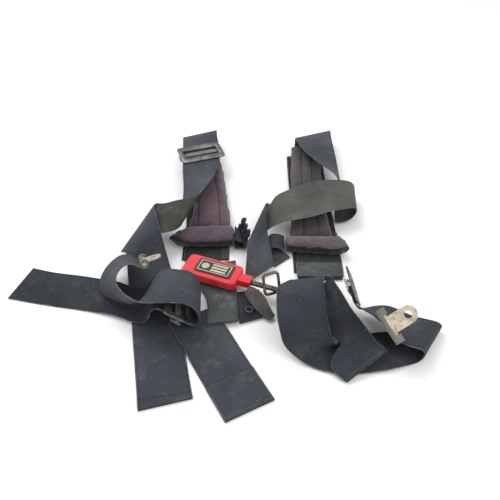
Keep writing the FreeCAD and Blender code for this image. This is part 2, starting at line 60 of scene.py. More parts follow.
# ---- webbing ------------------------------------------------------------------------------------
# A run of webbing is a list of stations, and a station is its two selvedges, (x, y, z) each.
WEBBING = {
    "left_shoulder_webbing": [
        ((-64, -38, 3.4), (12, -34, 3.4)),
        ((-66, 40, 3.4), (10, 46, 3.4)),
        ((-77, 160, 3.4), (-2, 172, 3.4)),
        ((-91, 308, 3.4), (-22, 339, 3.4)),
    ],
    "left_shoulder_tail": [
        ((-92, 316, 8), (-23, 347, 8)),
        ((-92, 322, 26), (-23, 353, 26)),
        ((-91, 306, 40), (-21, 336, 40)),
        ((-89, 282, 43), (-19, 308, 43)),
        ((-87, 256, 42), (-15, 281, 42)),
        ((-85, 228, 41), (-13, 253, 41)),
        ((-83, 200, 40), (-11, 225, 40)),
        ((-80, 170, 39), (-15, 190, 40)),
        ((-75, 120, 37), (-20, 150, 48)),
        ((-72, 66, 38), (-30, 116, 54)),
        ((-70, 14, 40), (-38, 92, 58)),
        ((-84, -8, 44), (-50, 68, 62)),
        ((-104, -12, 42), (-78, 60, 60)),
        ((-132, -8, 26), (-106, 72, 44)),
        ((-163, -22, 16), (-121, 80, 38)),
        ((-158, -46, 26), (-106, 0, 56)),
        ((-155, -62, 16), (-95, -28, 26)),
        ((-149, -97, 5), (-75, -88, 5)),
        ((-143, -128, 2), (-67, -124, 2)),
        ((-136, -160, FLOOR_Z), (-60, -160, FLOOR_Z)),
        ((-127, -206, FLOOR_Z), (-51, -206, FLOOR_Z)),
        ((-118, -251, FLOOR_Z), (-42, -251, FLOOR_Z)),
        ((-101, -336, FLOOR_Z), (-28, -316, FLOOR_Z)),
    ],
    "left_adjuster_tail": [
        ((-75, -183, 4.0), (-8, -147, 4.0)),
        ((-62, -207, 4.0), (5, -171, 4.0)),
        ((-50, -229, 3.9), (17, -193, 3.9)),
        ((-34, -259, 2.4), (33, -223, 2.4)),
        ((-20, -285, 1.3), (47, -249, 1.3)),
        ((-2, -319, FLOOR_Z), (65, -283, FLOOR_Z)),
        ((17, -354, FLOOR_Z), (84, -318, FLOOR_Z)),
    ],
    "left_lap_tail": [
        ((-59.7, -194, 29.1), (-63.9, -118, 29.1)),
        ((-67.6, -194, 35.2), (-71.8, -118, 35.2)),
        ((-75.5, -194, 41.3), (-79.7, -118, 41.3)),
        ((-83.4, -194, 47.2), (-87.6, -118, 47.2)),
        ((-92, -193.5, 47), (-97, -118, 46)),
        ((-101, -192, 30), (-108, -117, 29)),
        ((-111, -189, 14), (-120, -115, 15)),
        ((-127, -183, 7.5), (-137, -109, 9)),
        ((-152, -171, 6.3), (-161, -96, 8)),
        ((-186, -159, 3.4), (-194, -84, 4)),
        ((-225, -150, 1.3), (-228, -74, 1.3)),
        ((-268, -142, FLOOR_Z), (-268, -67, FLOOR_Z)),
        ((-339, -126, FLOOR_Z), (-317, -54, FLOOR_Z)),
    ],
    "left_lap_strap": [
        ((-58.1, -194, 27.9), (-62.3, -118, 27.9)),
        ((-47.8, -194, 19.9), (-52.0, -118, 19.9)),
        ((-37.5, -194, 12.0), (-41.7, -118, 12.0)),
        ((-29, -194, 14), (-33, -118, 14)),
        ((-26, -196, 34), (-30, -120, 32)),
        ((-38, -198, 60), (-43, -122, 57)),
        ((-60, -198, 66), (-64, -122, 62)),
        ((-86, -199, 67), (-91, -125, 57)),
        ((-108, -197, 66), (-119, -148, 22)),
        ((-134, -180, 66), (-164, -141, 14)),
        ((-150, -156, 67), (-188, -122, 14)),
        ((-150, -132, 68), (-189, -91, 24)),
        ((-134, -121, 71), (-160, -56, 33)),
        ((-119.4, -125.6, 69.3), (-136.4, -64.2, 32.3)),
    ],
    "right_shoulder_webbing": [
        ((129, -84, 3.4), (204, -84, 3.4)),
        ((131, -20, 3.4), (206, -20, 3.4)),
        ((128, 120, 3.4), (203, 120, 3.4)),
        ((128, 290, 3.4), (202, 306, 3.4)),
    ],
    "right_shoulder_fold": [
        ((146, 318, 8), (222, 350, 8)),
        ((146, 322, 26), (224, 354, 26)),
        ((147, 296, 40), (222, 328, 40)),
        ((169, 226, 47), (222, 268, 40)),
        ((197, 172, 54), (224, 216, 32)),
        ((216, 134, 52), (228, 190, 14)),
        ((214, 112, 34), (232, 166, 7)),
    ],
    "right_shoulder_tail": [
        ((206, 62, 7), (212, 136, 7)),
        ((222, 66, 5), (230, 140, 5)),
        ((240, 70, 14), (248, 144, 16)),
        ((244, 70, 30), (246, 140, 38)),
        ((224, 58, 42), (218, 128, 56)),
        ((193, 50, 42), (190, 122, 60)),
        ((156, 34, 42), (147, 108, 60)),
        ((120, 28, 38), (116, 102, 50)),
        ((90, 26, 26), (96, 98, 38)),
        ((66, 10, 17), (88, 92, 28)),
        ((47, -18, 24), (81, 84, 36)),
        ((45, -36, 31), (78, 38, 46)),
        ((44, -56, 24), (80, 10, 32)),
        ((42, -76, 10), (85, -28, 25)),
        ((39, -95, 1.6), (90, -61, 13)),
    ],
    "right_lap_strap": [
        ((114, -92, 9), (188, -84, 9)),
        ((100, -128, 36), (172, -108, 36)),
        ((90, -166, 62), (163, -140, 60)),
        ((88, -194, 72), (160, -168, 68)),
        ((88, -222, 66), (160, -198, 62)),
        ((94, -240, 42), (165, -224, 40)),
        ((108, -247, 15), (178, -232, 14)),
        ((134, -262, 4.4), (190, -214, 7)),
        ((176, -276, 3.4), (206, -206, 5)),
        ((224, -274, 3.2), (236, -200, 3.6)),
        ((268, -264, 3.5), (300, -196, 3.2)),
        ((298, -254, 9), (340, -192, 7)),
        ((297, -256, 26), (334, -196, 21)),
        ((268, -250, 36), (298, -184, 23)),
        ((240, -224, 50), (262, -160, 20)),
        ((219, -211, 61), (238, -157, 14)),
        ((200, -203.1, 71.5), (217.8, -157.5, 13.5)),
        ((196.6, -192, 79.3), (214.4, -146.3, 21.3)),
        ((193.1, -180.8, 87), (210.9, -135.2, 29)),
        ((191.1, -174.4, 91.4), (208.9, -128.8, 33.4)),
    ],
    "right_adjuster_tail": [
        ((124, -158, 18), (177, -123, 46)),
        ((138, -188, 16), (190, -154, 44)),
        ((165, -216, 18), (202, -184, 39)),
        ((181, -235, 20), (210, -199, 37)),
        ((171, -251, 19), (218, -213, 34)),
        ((165, -271, 12), (231, -232, 28)),
        ((186, -291, 3), (247, -250, 22)),
    ],
}

# Chest strap: 38 mm webbing, looped through the buckle on the left, a loose end on the right.
CHEST_WEBBING = {
    "chest_strap_left": [
        ((23.6, -8, 24), (23.4, 29, 26)),
        ((34.9, -6.3, 17.8), (25.4, 30.3, 21.4)),
        ((41.2, -4.4, 11.2), (31.7, 32.2, 15.2)),
        ((44.6, -3.3, 7.2), (35.1, 33.3, 11.2)),
        ((43, -3.5, 2.8), (33.6, 33.1, 6.9)),
        ((39, -4.7, 2.3), (29.5, 31.9, 6.3)),
        ((32.6, -6.5, 4.7), (25, 30, 8.2)),
        ((23.6, -8, 4.5), (23.4, 29, 5.5)),
    ],
    "chest_strap_right": [
        ((110, -19, 11), (110, 19, 11)),
        ((98, -20, 17), (98, 18, 17)),
        ((82, -22, 14), (84, 16, 14)),
        ((76, -28, 7), (84, 9, 7)),
        ((84, -42, 3.2), (106, -11, 3.2)),
        ((92, -52, 1.2), (120, -27, 1.2)),
    ],
}

# Pads: the two side edges of each pad at half its thickness.
PADS = {
    "left_shoulder_pad": [
        ((-62, 30, 14), (19, 36, 14)),
        ((-66, 122, 14), (16, 107, 14)),
        ((-74, 165, 14), (9, 165, 14)),
        ((-88, 262, 14), (-6, 262, 14)),
        ((-92, 300, 14), (-24, 330, 14)),
    ],
    "right_shoulder_pad": [
        ((116, 4, 14), (199, 4, 14)),
        ((121, 120, 14), (200, 120, 14)),
        ((126, 230, 14), (202, 230, 14)),
        ((134, 314, 14), (200, 326, 14)),
    ],
}


# ---- webbing as a surface -----------------------------------------------------------------------
def smooth_path(knots, rows):
    """Natural cubic spline through rows at knots, as a function of an array of knots."""
    count = len(knots)
    step = np.diff(knots)
    matrix = np.eye(count)
    right = np.zeros_like(rows)
    for i in range(1, count - 1):
        matrix[i, i - 1 : i + 2] = step[i - 1], 2 * (step[i - 1] + step[i]), step[i]
        right[i] = 6 * ((rows[i + 1] - rows[i]) / step[i] - (rows[i] - rows[i - 1]) / step[i - 1])
    bend = np.linalg.solve(matrix, right)

    def at(t):
        i = np.clip(np.searchsorted(knots, t, side="right") - 1, 0, count - 2)
        width = (knots[i + 1] - knots[i])[:, None]
        a = (knots[i + 1] - t)[:, None] / width
        b = 1 - a
        curved = ((a**3 - a) * bend[i] + (b**3 - b) * bend[i + 1]) * width**2 / 6
        return a * rows[i] + b * rows[i + 1] + curved

    return at


class Ribbon:
    """The surface between two selvedges. a runs from -1 to 1 across, s in mm along its middle."""

    def __init__(self, stations):
        selvedges = np.array(stations, float) + SHIFT
        middle = selvedges.mean(axis=1)
        gaps = np.linalg.norm(np.diff(middle, axis=0), axis=1)
        knots = np.concatenate([[0.0], np.cumsum(gaps)])
        self.path = smooth_path(knots, selvedges.reshape(len(knots), 6))
        self.t = np.linspace(0, knots[-1], int(knots[-1]) + 2)
        centre = self.path(self.t).reshape(-1, 2, 3).mean(axis=1)
        runs = np.linalg.norm(np.diff(centre, axis=0), axis=1)
        self.s = np.concatenate([[0.0], np.cumsum(runs)])
        self.length = self.s[-1]

    def surface(self, a, s, lift=0.0):
        """Points at across a, along s, raised lift along the surface's normal, in mm."""
        a, s, lift = np.broadcast_arrays(*(np.asarray(v, float) for v in (a, s, lift)))
        t = np.interp(s.ravel(), self.s, self.t)
        left, right = np.split(self.path(t), 2, axis=1)
        ahead = self.path(np.minimum(t + 0.5, self.t[-1]))
        behind = self.path(np.maximum(t - 0.5, 0))
        along = (ahead - behind).reshape(-1, 2, 3).sum(axis=1)
        normal = np.cross(along, right - left)
        normal /= np.linalg.norm(normal, axis=1)[:, None]
        share = (a.ravel()[:, None] + 1) / 2
        points = left * (1 - share) + right * share + normal * lift.ravel()[:, None]
        return points.reshape(*a.shape, 3)


def new_object(name, points, faces, materials, indices=None):
    """Mesh object from points in mm, smooth shaded."""
    mesh = bpy.data.meshes.new(name)
    mesh.from_pydata([tuple(p) for p in np.asarray(points) * MM], [], faces)
    for material in materials:
        mesh.materials.append(material)
    if indices is not None:
        mesh.polygons.foreach_set("material_index", indices)
    mesh.polygons.foreach_set("use_smooth", [True] * len(mesh.polygons))
    mesh.update()
    obj = bpy.data.objects.new(name, mesh)
    bpy.context.scene.collection.objects.link(obj)
    return obj


def set_cloth(mesh, values):
    """Stores each point's place on the cloth: across and along in metres, and 0 to 1 to the edge."""
    layer = mesh.attributes.new("cloth", "FLOAT_VECTOR", "POINT")
    layer.data.foreach_set("vector", np.asarray(values, np.float32).ravel())


COLUMNS = np.concatenate([[-1, -0.985, -0.955], np.linspace(-0.91, 0.91, 15), [0.955, 0.985, 1]])


def web_object(
    name, ribbon, thickness, materials, start=0.0, end=None, lift=0.0, width=76.0, ripple=0.35
):
    """A length of webbing as a closed mesh with rounded selvedges and a slight ripple."""
    end = ribbon.length if end is None else end
    rows = np.linspace(start, end, max(3, int((end - start) / 2.6)))
    swell = 1 + 0.28 * np.exp(-(((np.abs(COLUMNS) - 0.945) / 0.03) ** 2))
    half = thickness / 2 * swell * np.sqrt(np.maximum(0, 1 - np.abs(COLUMNS) ** 40))
    a, s = np.meshgrid(COLUMNS, rows)
    wave = [
        [noise.noise(Vector((x * 1.1, y * 0.021, len(name)))) * ripple for x, y in zip(*pair)]
        for pair in zip(a, s)
    ]
    wave = np.array(wave) * np.clip(np.minimum(s - start, end - s) / 20, 0.2, 1)
    upper = ribbon.surface(a, s, lift + wave + half)
    lower = ribbon.surface(a, s, lift + wave - half)
    count, cols = a.shape
    inner = cols - 2
    points = np.concatenate([upper.reshape(-1, 3), lower[:, 1:-1].reshape(-1, 3)])
    cloth = np.stack([a * width * MM / 2, s * MM, np.abs(a)], axis=2)
    values = np.concatenate([cloth.reshape(-1, 3), cloth[:, 1:-1].reshape(-1, 3)])

    def low(r, c):
        return r * cols + c if c in (0, cols - 1) else count * cols + r * inner + c - 1

    faces, sides = [], []
    for r in range(count - 1):
        for c in range(cols - 1):
            faces.append((r * cols + c, r * cols + c + 1, (r + 1) * cols + c + 1, (r + 1) * cols + c))
            faces.append((low(r + 1, c), low(r + 1, c + 1), low(r, c + 1), low(r, c)))
            sides += [0, 1]
    for r in (0, count - 1):
        for c in range(cols - 1):
            corners = (r * cols + c, low(r, c), low(r, c + 1), r * cols + c + 1)
            unique = list(dict.fromkeys(corners))
            faces.append(unique if r else unique[::-1])
            sides.append(0)
    obj = new_object(name, points, faces, materials, sides)
    set_cloth(obj.data, values)
    return obj


def stitch_rows(name, ribbon, rows, material, lift, length=3.4, gap=1.1, radius=0.42):
    """Sewing thread along rows, each row two (a, s) ends on a ribbon, as one object."""
    points, faces = [], []
    for (a0, s0), (a1, s1) in rows:
        ends = ribbon.surface([a0, a1], [s0, s1])
        count = max(1, int(np.linalg.norm(ends[1] - ends[0]) / (length + gap)))
        cuts = (np.arange(count)[:, None] + np.array([[0.0, 0.5, 1 - gap / (length + gap)]])) / count
        a = a0 + (a1 - a0) * cuts
        s = s0 + (s1 - s0) * cuts
        line = ribbon.surface(a, s, lift)
        above = ribbon.surface(a[:, 1], s[:, 1], lift + radius)
        under = ribbon.surface(a[:, 1], s[:, 1], lift - radius)
        for i in range(count):
            along = line[i, 2] - line[i, 0]
            side = np.cross(along, above[i] - under[i])
            side *= radius / max(np.linalg.norm(side), 1e-9)
            base = len(points)
            points += [line[i, 0], above[i], line[i, 1] + side, under[i], line[i, 1] - side, line[i, 2]]
            ring = [base + 1, base + 2, base + 3, base + 4]
            for k in range(4):
                faces.append((base, ring[k], ring[(k + 1) % 4]))
                faces.append((base + 5, ring[(k + 1) % 4], ring[k]))
    return new_object(name, points, faces, [material])


# ---- materials ----------------------------------------------------------------------------------
class Nodes:
    """Short ways to add shader nodes to one material."""

    def __init__(self, name):
        self.material = bpy.data.materials.new(name)
        self.material.use_nodes = True
        self.tree = self.material.node_tree
        self.shader = self.tree.nodes["Principled BSDF"]

    def add(self, kind, inputs=None, **settings):
        node = self.tree.nodes.new(kind)
        for key, value in settings.items():
            setattr(node, key, value)
        for key, value in (inputs or {}).items():
            if isinstance(value, bpy.types.NodeSocket):
                self.tree.links.new(value, node.inputs[key])
            else:
                node.inputs[key].default_value = value
        return node

    def math(self, operation, a, b=0.0, clamp=False):
        return self.add("ShaderNodeMath", {0: a, 1: b}, operation=operation, use_clamp=clamp).outputs[0]

    def vector(self, operation, a, b):
        return self.add("ShaderNodeVectorMath", {0: a, 1: b}, operation=operation)

    def linear(self, value, scale, offset):
        inputs = {0: value, 1: scale, 2: offset}
        return self.add("ShaderNodeMath", inputs, operation="MULTIPLY_ADD").outputs[0]

    def place(self):
        return self.add("ShaderNodeTexCoord").outputs["Object"]

    def noise(self, scale, detail=4.0, vector=None, rough=0.55):
        inputs = {"Scale": scale, "Detail": detail, "Roughness": rough, "Vector": vector or self.place()}
        return self.add("ShaderNodeTexNoise", inputs).outputs["Fac"]

    def ramp(self, value, low, high):
        """0 below low, 1 above high."""
        inputs = {"Value": value, "From Min": low, "From Max": high}
        return self.add("ShaderNodeMapRange", inputs, interpolation_type="SMOOTHSTEP").outputs[0]

    def mix(self, share, a, b):
        """Colour a to colour b by share."""
        node = self.add("ShaderNodeMix", data_type="RGBA")
        for index, value in ((0, share), (6, a), (7, b)):
            if isinstance(value, bpy.types.NodeSocket):
                self.tree.links.new(value, node.inputs[index])
            else:
                node.inputs[index].default_value = (*value, 1.0) if index else value
        return node.outputs[2]

    def cloth(self):
        """Across, along and edge from the cloth attribute, in millimetres and 0 to 1."""
        attribute = self.add("ShaderNodeAttribute", attribute_name="cloth")
        parts = self.add("ShaderNodeSeparateXYZ", {0: attribute.outputs["Vector"]})
        across = self.math("MULTIPLY", parts.outputs[0], 1000.0)
        along = self.math("MULTIPLY", parts.outputs[1], 1000.0)
        return across, along, parts.outputs[2]

    def wave(self, value, period):
        """A sine of the value, from -1 to 1."""
        return self.math("SINE", self.math("MULTIPLY", value, 2 * math.pi / period))

    def bump(self, height, strength, distance):
        node = self.add("ShaderNodeBump", {"Height": height, "Strength": strength, "Distance": distance})
        self.tree.links.new(node.outputs[0], self.shader.inputs["Normal"])

    def finish(self, colour, rough, sheen=0.0, metallic=0.0, specular=0.5):
        for key, value in (("Base Color", colour), ("Roughness", rough)):
            if isinstance(value, bpy.types.NodeSocket):
                self.tree.links.new(value, self.shader.inputs[key])
            else:
                self.shader.inputs[key].default_value = (*value, 1.0) if key == "Base Color" else value
        self.shader.inputs["Sheen Weight"].default_value = sheen
        self.shader.inputs["Sheen Roughness"].default_value = 0.5
        self.shader.inputs["Metallic"].default_value = metallic
        self.shader.inputs["Specular IOR Level"].default_value = specular
        return self.material


DUST = (0.27, 0.265, 0.245)
LINT = (0.50, 0.49, 0.45)


def webbing_material(name, base, faded, dust=0.35, ribs=0.10, rib_period=3.1):
    """Flat-woven webbing: fine twill, lengthwise ribs, fading, dust and lint, with a painted shade line
    inside each selvedge and a patchy painted highlight along the selvedges.
    """
    n = Nodes(name)
    across, along, edge = n.cloth()
    twill = n.wave(n.math("ADD", across, n.math("MULTIPLY", along, 0.75)), 1.5)
    rib = n.wave(across, rib_period)
    fade = n.ramp(n.noise(9.0, 5.0), 0.36, 0.66)
    colour = n.mix(fade, base, faded)
    stripe = n.math("MULTIPLY", n.ramp(rib, -0.6, 0.9), ribs)
    colour = n.mix(stripe, colour, tuple(c * 1.6 for c in faded))
    cloud = n.math("MULTIPLY", n.ramp(n.noise(26.0, 7.0, rough=0.7), 0.50, 0.78), dust)
    colour = n.mix(cloud, colour, DUST)
    speck = n.math("MULTIPLY", n.ramp(n.noise(420.0, 2.0), 0.70, 0.76), 0.45)
    colour = n.mix(speck, colour, LINT)
    # Painted highlight: patchy pale colour along the rounded selvedges, where they catch the light.
    wear_and_highlight = n.math("MULTIPLY", n.ramp(edge, 0.955, 0.995), n.ramp(n.noise(60.0, 3.0), 0.35, 0.7))
    colour = n.mix(n.math("MULTIPLY", wear_and_highlight, 0.55), colour, DUST)
    # Painted shade: a darker band just inside each selvedge, beside its raised rim.
    groove_shade = n.math("SUBTRACT", n.ramp(edge, 0.86, 0.90), n.ramp(edge, 0.90, 0.935))
    groove_shade = n.math("MULTIPLY", groove_shade, 0.35)
    colour = n.mix(groove_shade, colour, tuple(c * 0.35 for c in base))
    height = n.math("ADD", n.math("MULTIPLY", twill, 0.5), n.math("MULTIPLY", rib, ribs * 5))
    height = n.math("ADD", height, n.math("MULTIPLY", n.noise(300.0, 3.0), 1.2))
    n.bump(height, 0.35, 0.0004)
    return n.finish(colour, n.linear(fade, 0.08, 0.80), sheen=0.05, specular=0.15)


def pad_material(name, base, faded, painted_shade, turn=(0.15, 0.6)):
    """Nylon pad cover: fine grid weave and fading, with painted shade on its sides and underside."""
    n = Nodes(name)
    across, along, edge = n.cloth()
    grid = n.math("MULTIPLY", n.wave(across, 0.9), n.wave(along, 0.9))
    colour = n.mix(n.ramp(n.noise(14.0, 6.0, rough=0.65), 0.35, 0.68), base, faded)
    geometry = n.add("ShaderNodeNewGeometry")
    up = n.add("ShaderNodeSeparateXYZ", {0: geometry.outputs["Normal"]}).outputs[2]
    # Painted shade: towards the third colour wherever the normal points less upward than turn.
    colour = n.mix(n.math("SUBTRACT", 1.0, n.ramp(up, *turn)), colour, painted_shade)
    streak = n.math("MULTIPLY", n.ramp(n.noise(45.0, 6.0, rough=0.75), 0.55, 0.8), 0.30)
    colour = n.mix(streak, colour, DUST)
    speck = n.math("MULTIPLY", n.ramp(n.noise(350.0, 2.0), 0.72, 0.78), 0.4)
    colour = n.mix(speck, colour, LINT)
    crumple = n.math("MULTIPLY", n.noise(55.0, 5.0), 3.0)
    n.bump(n.math("ADD", n.math("MULTIPLY", grid, 0.35), crumple), 0.45, 0.0008)
    return n.finish(colour, 0.78, sheen=0.25, specular=0.3)


KNURL_PITCH = 0.0032                    # metres, as the shader sees the place


def metal_material(
    name, base, wear_and_highlight, rust, rust_share=0.45, knurl=None, rough=0.42, blur=0.06, metallic=0.75
):
    """Plated steel: brushed, bright where it is handled, with brown corrosion in patches."""
    n = Nodes(name)
    colour = n.mix(n.ramp(n.noise(60.0, 6.0), 0.35, 0.65), base, wear_and_highlight)
    patches = n.ramp(n.noise(130.0, 8.0, rough=0.75), 1 - rust_share, 1 - rust_share + blur)
    colour = n.mix(n.math("MULTIPLY", patches, 0.85), colour, rust)
    grain = n.math("MULTIPLY", n.noise(900.0, 2.0), 0.5)
    height = n.math("ADD", grain, n.math("MULTIPLY", patches, 1.5))
    if knurl:
        centre, side, forward = knurl
        offset = n.vector("SUBTRACT", n.place(), centre).outputs[0]
        u = n.vector("DOT_PRODUCT", offset, side).outputs["Value"]
        v = n.vector("DOT_PRODUCT", offset, forward).outputs["Value"]
        right = n.wave(n.math("ADD", u, v), KNURL_PITCH)
        left = n.wave(n.math("SUBTRACT", u, v), KNURL_PITCH)
        teeth = n.math("MULTIPLY", right, left)
        height = n.math("ADD", height, n.math("MULTIPLY", teeth, 4.0))
        colour = n.mix(n.math("MULTIPLY", n.ramp(teeth, 0.1, 0.8), 0.35), colour, (0.45, 0.45, 0.44))
    n.bump(height, 0.5, 0.0005)
    return n.finish(colour, n.linear(patches, 0.35, rough), metallic=metallic)


def plain_material(name, base, second, rough, scale=80.0, bump=0.0003, dust=0.2):
    """Moulded plastic, rubber or thread, mottled and a little dusty."""
    n = Nodes(name)
    colour = n.mix(n.ramp(n.noise(scale, 5.0), 0.38, 0.66), base, second)
    dusty = n.math("MULTIPLY", n.ramp(n.noise(200.0, 6.0, rough=0.7), 0.56, 0.75), dust)
    colour = n.mix(dusty, colour, DUST)
    n.bump(n.noise(scale * 9, 4.0), 0.4, bump)
    return n.finish(colour, n.linear(n.noise(scale * 2, 4.0), 0.25, rough - 0.1))


web_dark = webbing_material("web_dark", (0.038, 0.043, 0.053), (0.064, 0.070, 0.082), dust=0.22)
# web_shaded is web_dark at a little over half its brightness: painted shade for undersides and for
# webbing that lies in shadow.
web_shaded = webbing_material("web_shaded", (0.021, 0.024, 0.030), (0.038, 0.043, 0.052), dust=0.18)
web_moss = webbing_material("web_moss", (0.055, 0.060, 0.056), (0.108, 0.112, 0.098), dust=0.3)
web_olive = webbing_material("web_olive", (0.040, 0.044, 0.035), (0.066, 0.070, 0.056), dust=0.3)
web_tan = webbing_material("web_tan", (0.120, 0.118, 0.108), (0.200, 0.190, 0.165), dust=0.7)
web_ribbed = webbing_material(
    "web_ribbed", (0.012, 0.013, 0.016), (0.030, 0.032, 0.034), ribs=0.8, rib_period=4.2,
)
panel_cloth = webbing_material(
    "panel_cloth", (0.050, 0.058, 0.060), (0.078, 0.088, 0.086), dust=0.5,
)
chest_grey = webbing_material("chest_grey", (0.030, 0.033, 0.040), (0.062, 0.066, 0.072))
# Each pad cloth's third colour is painted shade for its sides and underside; turn sets how far a face
# must tip down to take it.
left_cloth = pad_material(
    "left_pad_cloth", (0.058, 0.029, 0.043), (0.102, 0.056, 0.077), (0.016, 0.015, 0.018),
)
right_cloth = pad_material(
    "right_pad_cloth", (0.026, 0.020, 0.024), (0.060, 0.043, 0.050), (0.014, 0.014, 0.017),
)
left_cuff_cloth = pad_material(
    "left_cuff_cloth", (0.056, 0.035, 0.048), (0.108, 0.070, 0.093), (0.010, 0.010, 0.013),
    turn=(0.48, 0.70),
)
right_cuff_cloth = pad_material(
    "right_cuff_cloth", (0.050, 0.040, 0.047), (0.115, 0.092, 0.100), (0.010, 0.010, 0.013),
    turn=(0.42, 0.62),
)
thread_pale = plain_material("thread_pale", (0.16, 0.16, 0.15), (0.26, 0.26, 0.24), 0.7)
thread_dark = plain_material("thread_dark", (0.045, 0.048, 0.052), (0.08, 0.08, 0.08), 0.7)
piping = plain_material("piping", (0.018, 0.013, 0.016), (0.036, 0.026, 0.031), 0.7)
piping_pale = plain_material(
    "piping_pale", (0.055, 0.050, 0.052), (0.14, 0.13, 0.13), 0.8, scale=160.0,
)
slide_steel = metal_material(
    "slide_steel", (0.09, 0.095, 0.098), (0.20, 0.20, 0.195), (0.060, 0.050, 0.042), 0.34,
)
bracket_steel = metal_material(
    "bracket_steel", (0.50, 0.45, 0.34), (0.64, 0.58, 0.46), (0.20, 0.105, 0.050), 0.52,
    rough=0.55, blur=0.22, metallic=0.25,
)
latch_steel = metal_material(
    "latch_steel", (0.11, 0.095, 0.085), (0.20, 0.18, 0.165), (0.075, 0.043, 0.027), 0.5,
)
rusty_wire = metal_material(
    "rusty_wire", (0.15, 0.125, 0.11), (0.27, 0.24, 0.215), (0.12, 0.062, 0.037), 0.5,
    rough=0.5,
)
red_rubber = plain_material(
    "red_rubber", (0.62, 0.018, 0.030), (0.72, 0.036, 0.052), 0.5, scale=40.0, dust=0.08,
)
badge_black = plain_material("badge_black", (0.012, 0.012, 0.012), (0.028, 0.026, 0.024), 0.55)
emblem_paint = plain_material("emblem_paint", (0.42, 0.40, 0.29), (0.55, 0.53, 0.40), 0.6, dust=0.3)
black_plastic = plain_material(
    "black_plastic", (0.016, 0.016, 0.018), (0.040, 0.040, 0.043), 0.42, dust=0.2,
)
tongue_hide = plain_material(
    "tongue_hide", (0.030, 0.024, 0.022), (0.062, 0.052, 0.046), 0.5, scale=60.0, bump=0.0006,
)

# ---- straps -------------------------------------------------------------------------------------
RIBBONS = {name: Ribbon(stations) for name, stations in {**WEBBING, **CHEST_WEBBING}.items()}
# web_shaded on a face here is painted shade, not a darker webbing.
FACES = {
    "left_shoulder_webbing": (web_ribbed, web_ribbed, "laid"),
    "left_shoulder_tail": (web_dark, web_olive, "folded"),
    "left_adjuster_tail": (web_dark, web_dark, "laid"),
    "left_lap_tail": (web_dark, web_shaded, "laid"),
    "left_lap_strap": (web_dark, web_dark, "folded"),
    "right_shoulder_webbing": (web_ribbed, web_ribbed, "laid"),
    "right_shoulder_fold": (web_dark, web_moss, "folded"),
    "right_shoulder_tail": (web_dark, web_moss, "folded"),
    "right_lap_strap": (web_shaded, web_shaded, "folded"),
    "right_adjuster_tail": (web_shaded, web_dark, "laid"),
}
for name, (outer, inner, held) in FACES.items():
    ribbon = RIBBONS[name]
    web = web_object(name + "_web", ribbon, WEBBING_T, (outer, inner))
    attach(web, "webbing")
    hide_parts(name)
for name in CHEST_WEBBING:
    ribbon = RIBBONS[name]
    web = web_object(name + "_web", ribbon, CHEST_T, (chest_grey, web_shaded), width=38.0, ripple=0.15)
    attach(web, "webbing")
    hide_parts(name)


def thread(name, ribbon, rows, material, lift, body="webbing", **sizes):
    stitches = stitch_rows(name, ribbon, rows, material, lift, **sizes)
    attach(stitches, body)
    return stitches


def hem(name, ribbon, length, node, rows, material):
    """Second layer sewn over a strap's end."""
    end = ribbon.length - 0.4
    layer = web_object(name, ribbon, 1.8, (web_dark, web_dark), end - length, end, lift=2.05, ripple=0.1)
    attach(layer, "webbing")
    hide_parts(node)
    thread(name + "_stitches", ribbon, rows, material, 3.1)


tail = RIBBONS["left_shoulder_tail"]
e = tail.length
hem("left_shoulder_tail_hem_web", tail, 13.0, "left_shoulder_tail_hem",
    [((-0.94, e - 10.5), (0.94, e - 10.5)), ((-0.94, e - 7.5), (0.94, e - 7.5))], thread_dark)
tail = RIBBONS["left_adjuster_tail"]
e = tail.length
hem("left_adjuster_tail_hem_web", tail, 62.0, "left_adjuster_tail_hem",
    [((-0.95, e - 60), (0.95, e - 60)), ((-0.95, e - 56), (0.95, e - 56)),
     ((-0.94, e - 56), (-0.94, e - 3)), ((0.94, e - 56), (0.94, e - 3)),
     ((-0.94, e - 4), (0.94, e - 4))], thread_pale)
tail = RIBBONS["right_adjuster_tail"]
e = tail.length
thread("right_adjuster_tail_stitches", tail,
       [((0.93, 4), (0.93, e - 4)), ((-0.9, e - 5), (0.93, e - 5))], thread_pale, 1.15)
tail = RIBBONS["left_lap_tail"]
e = tail.length
thread("left_lap_tail_stitches", tail,
       [((-0.92, e - 6), (0.92, e - 6)), ((-0.92, e - 9), (0.92, e - 9)),
        ((-0.1, e - 62), (0.5, e - 78)), ((-0.15, e - 78), (0.45, e - 62))], thread_pale, 1.15)
strap = RIBBONS["left_lap_strap"]
thread(
    "left_lap_strap_stitches", strap, [((-0.95, 100), (-0.95, 250))], thread_pale, 1.15,
    length=1.6, gap=2.2,
)

# ---- pads ---------------------------------------------------------------------------------------
def remeshed(obj, voxel):
    modifier = obj.modifiers.new("remesh", "REMESH")
    modifier.mode = "VOXEL"
    modifier.voxel_size = voxel
    bake_modifiers(obj)


def bake_modifiers(obj):
    """Makes what the modifiers show the object's own mesh."""
    graph = bpy.context.evaluated_depsgraph_get()
    graph.update()
    mesh = bpy.data.meshes.new_from_object(obj.evaluated_get(graph))
    obj.modifiers.clear()
    obj.data = mesh


def puff(obj, cap, pressure=4.0):
    """Inflates a pad with a cloth simulation, no point moving further than cap millimetres."""
    before = np.array([v.co for v in obj.data.vertices])
    cloth = obj.modifiers.new("cloth", "CLOTH")
    cloth.settings.use_pressure = True
    cloth.settings.uniform_pressure_force = pressure
    cloth.settings.effector_weights.gravity = 0
    scene = bpy.context.scene
    for number in range(1, 21):
        scene.frame_set(number)
    bake_modifiers(obj)
    after = np.array([v.co for v in obj.data.vertices])
    move = after - before
    reach = np.linalg.norm(move, axis=1)[:, None]
    after = before + move * np.minimum(1, cap * MM / np.maximum(reach, 1e-9))
    obj.data.vertices.foreach_set("co", after.ravel())
    scene.frame_set(1)


def subdivided(obj, levels=1):
    modifier = obj.modifiers.new("smooth", "SUBSURF")
    modifier.levels = modifier.render_levels = levels
    bake_modifiers(obj)


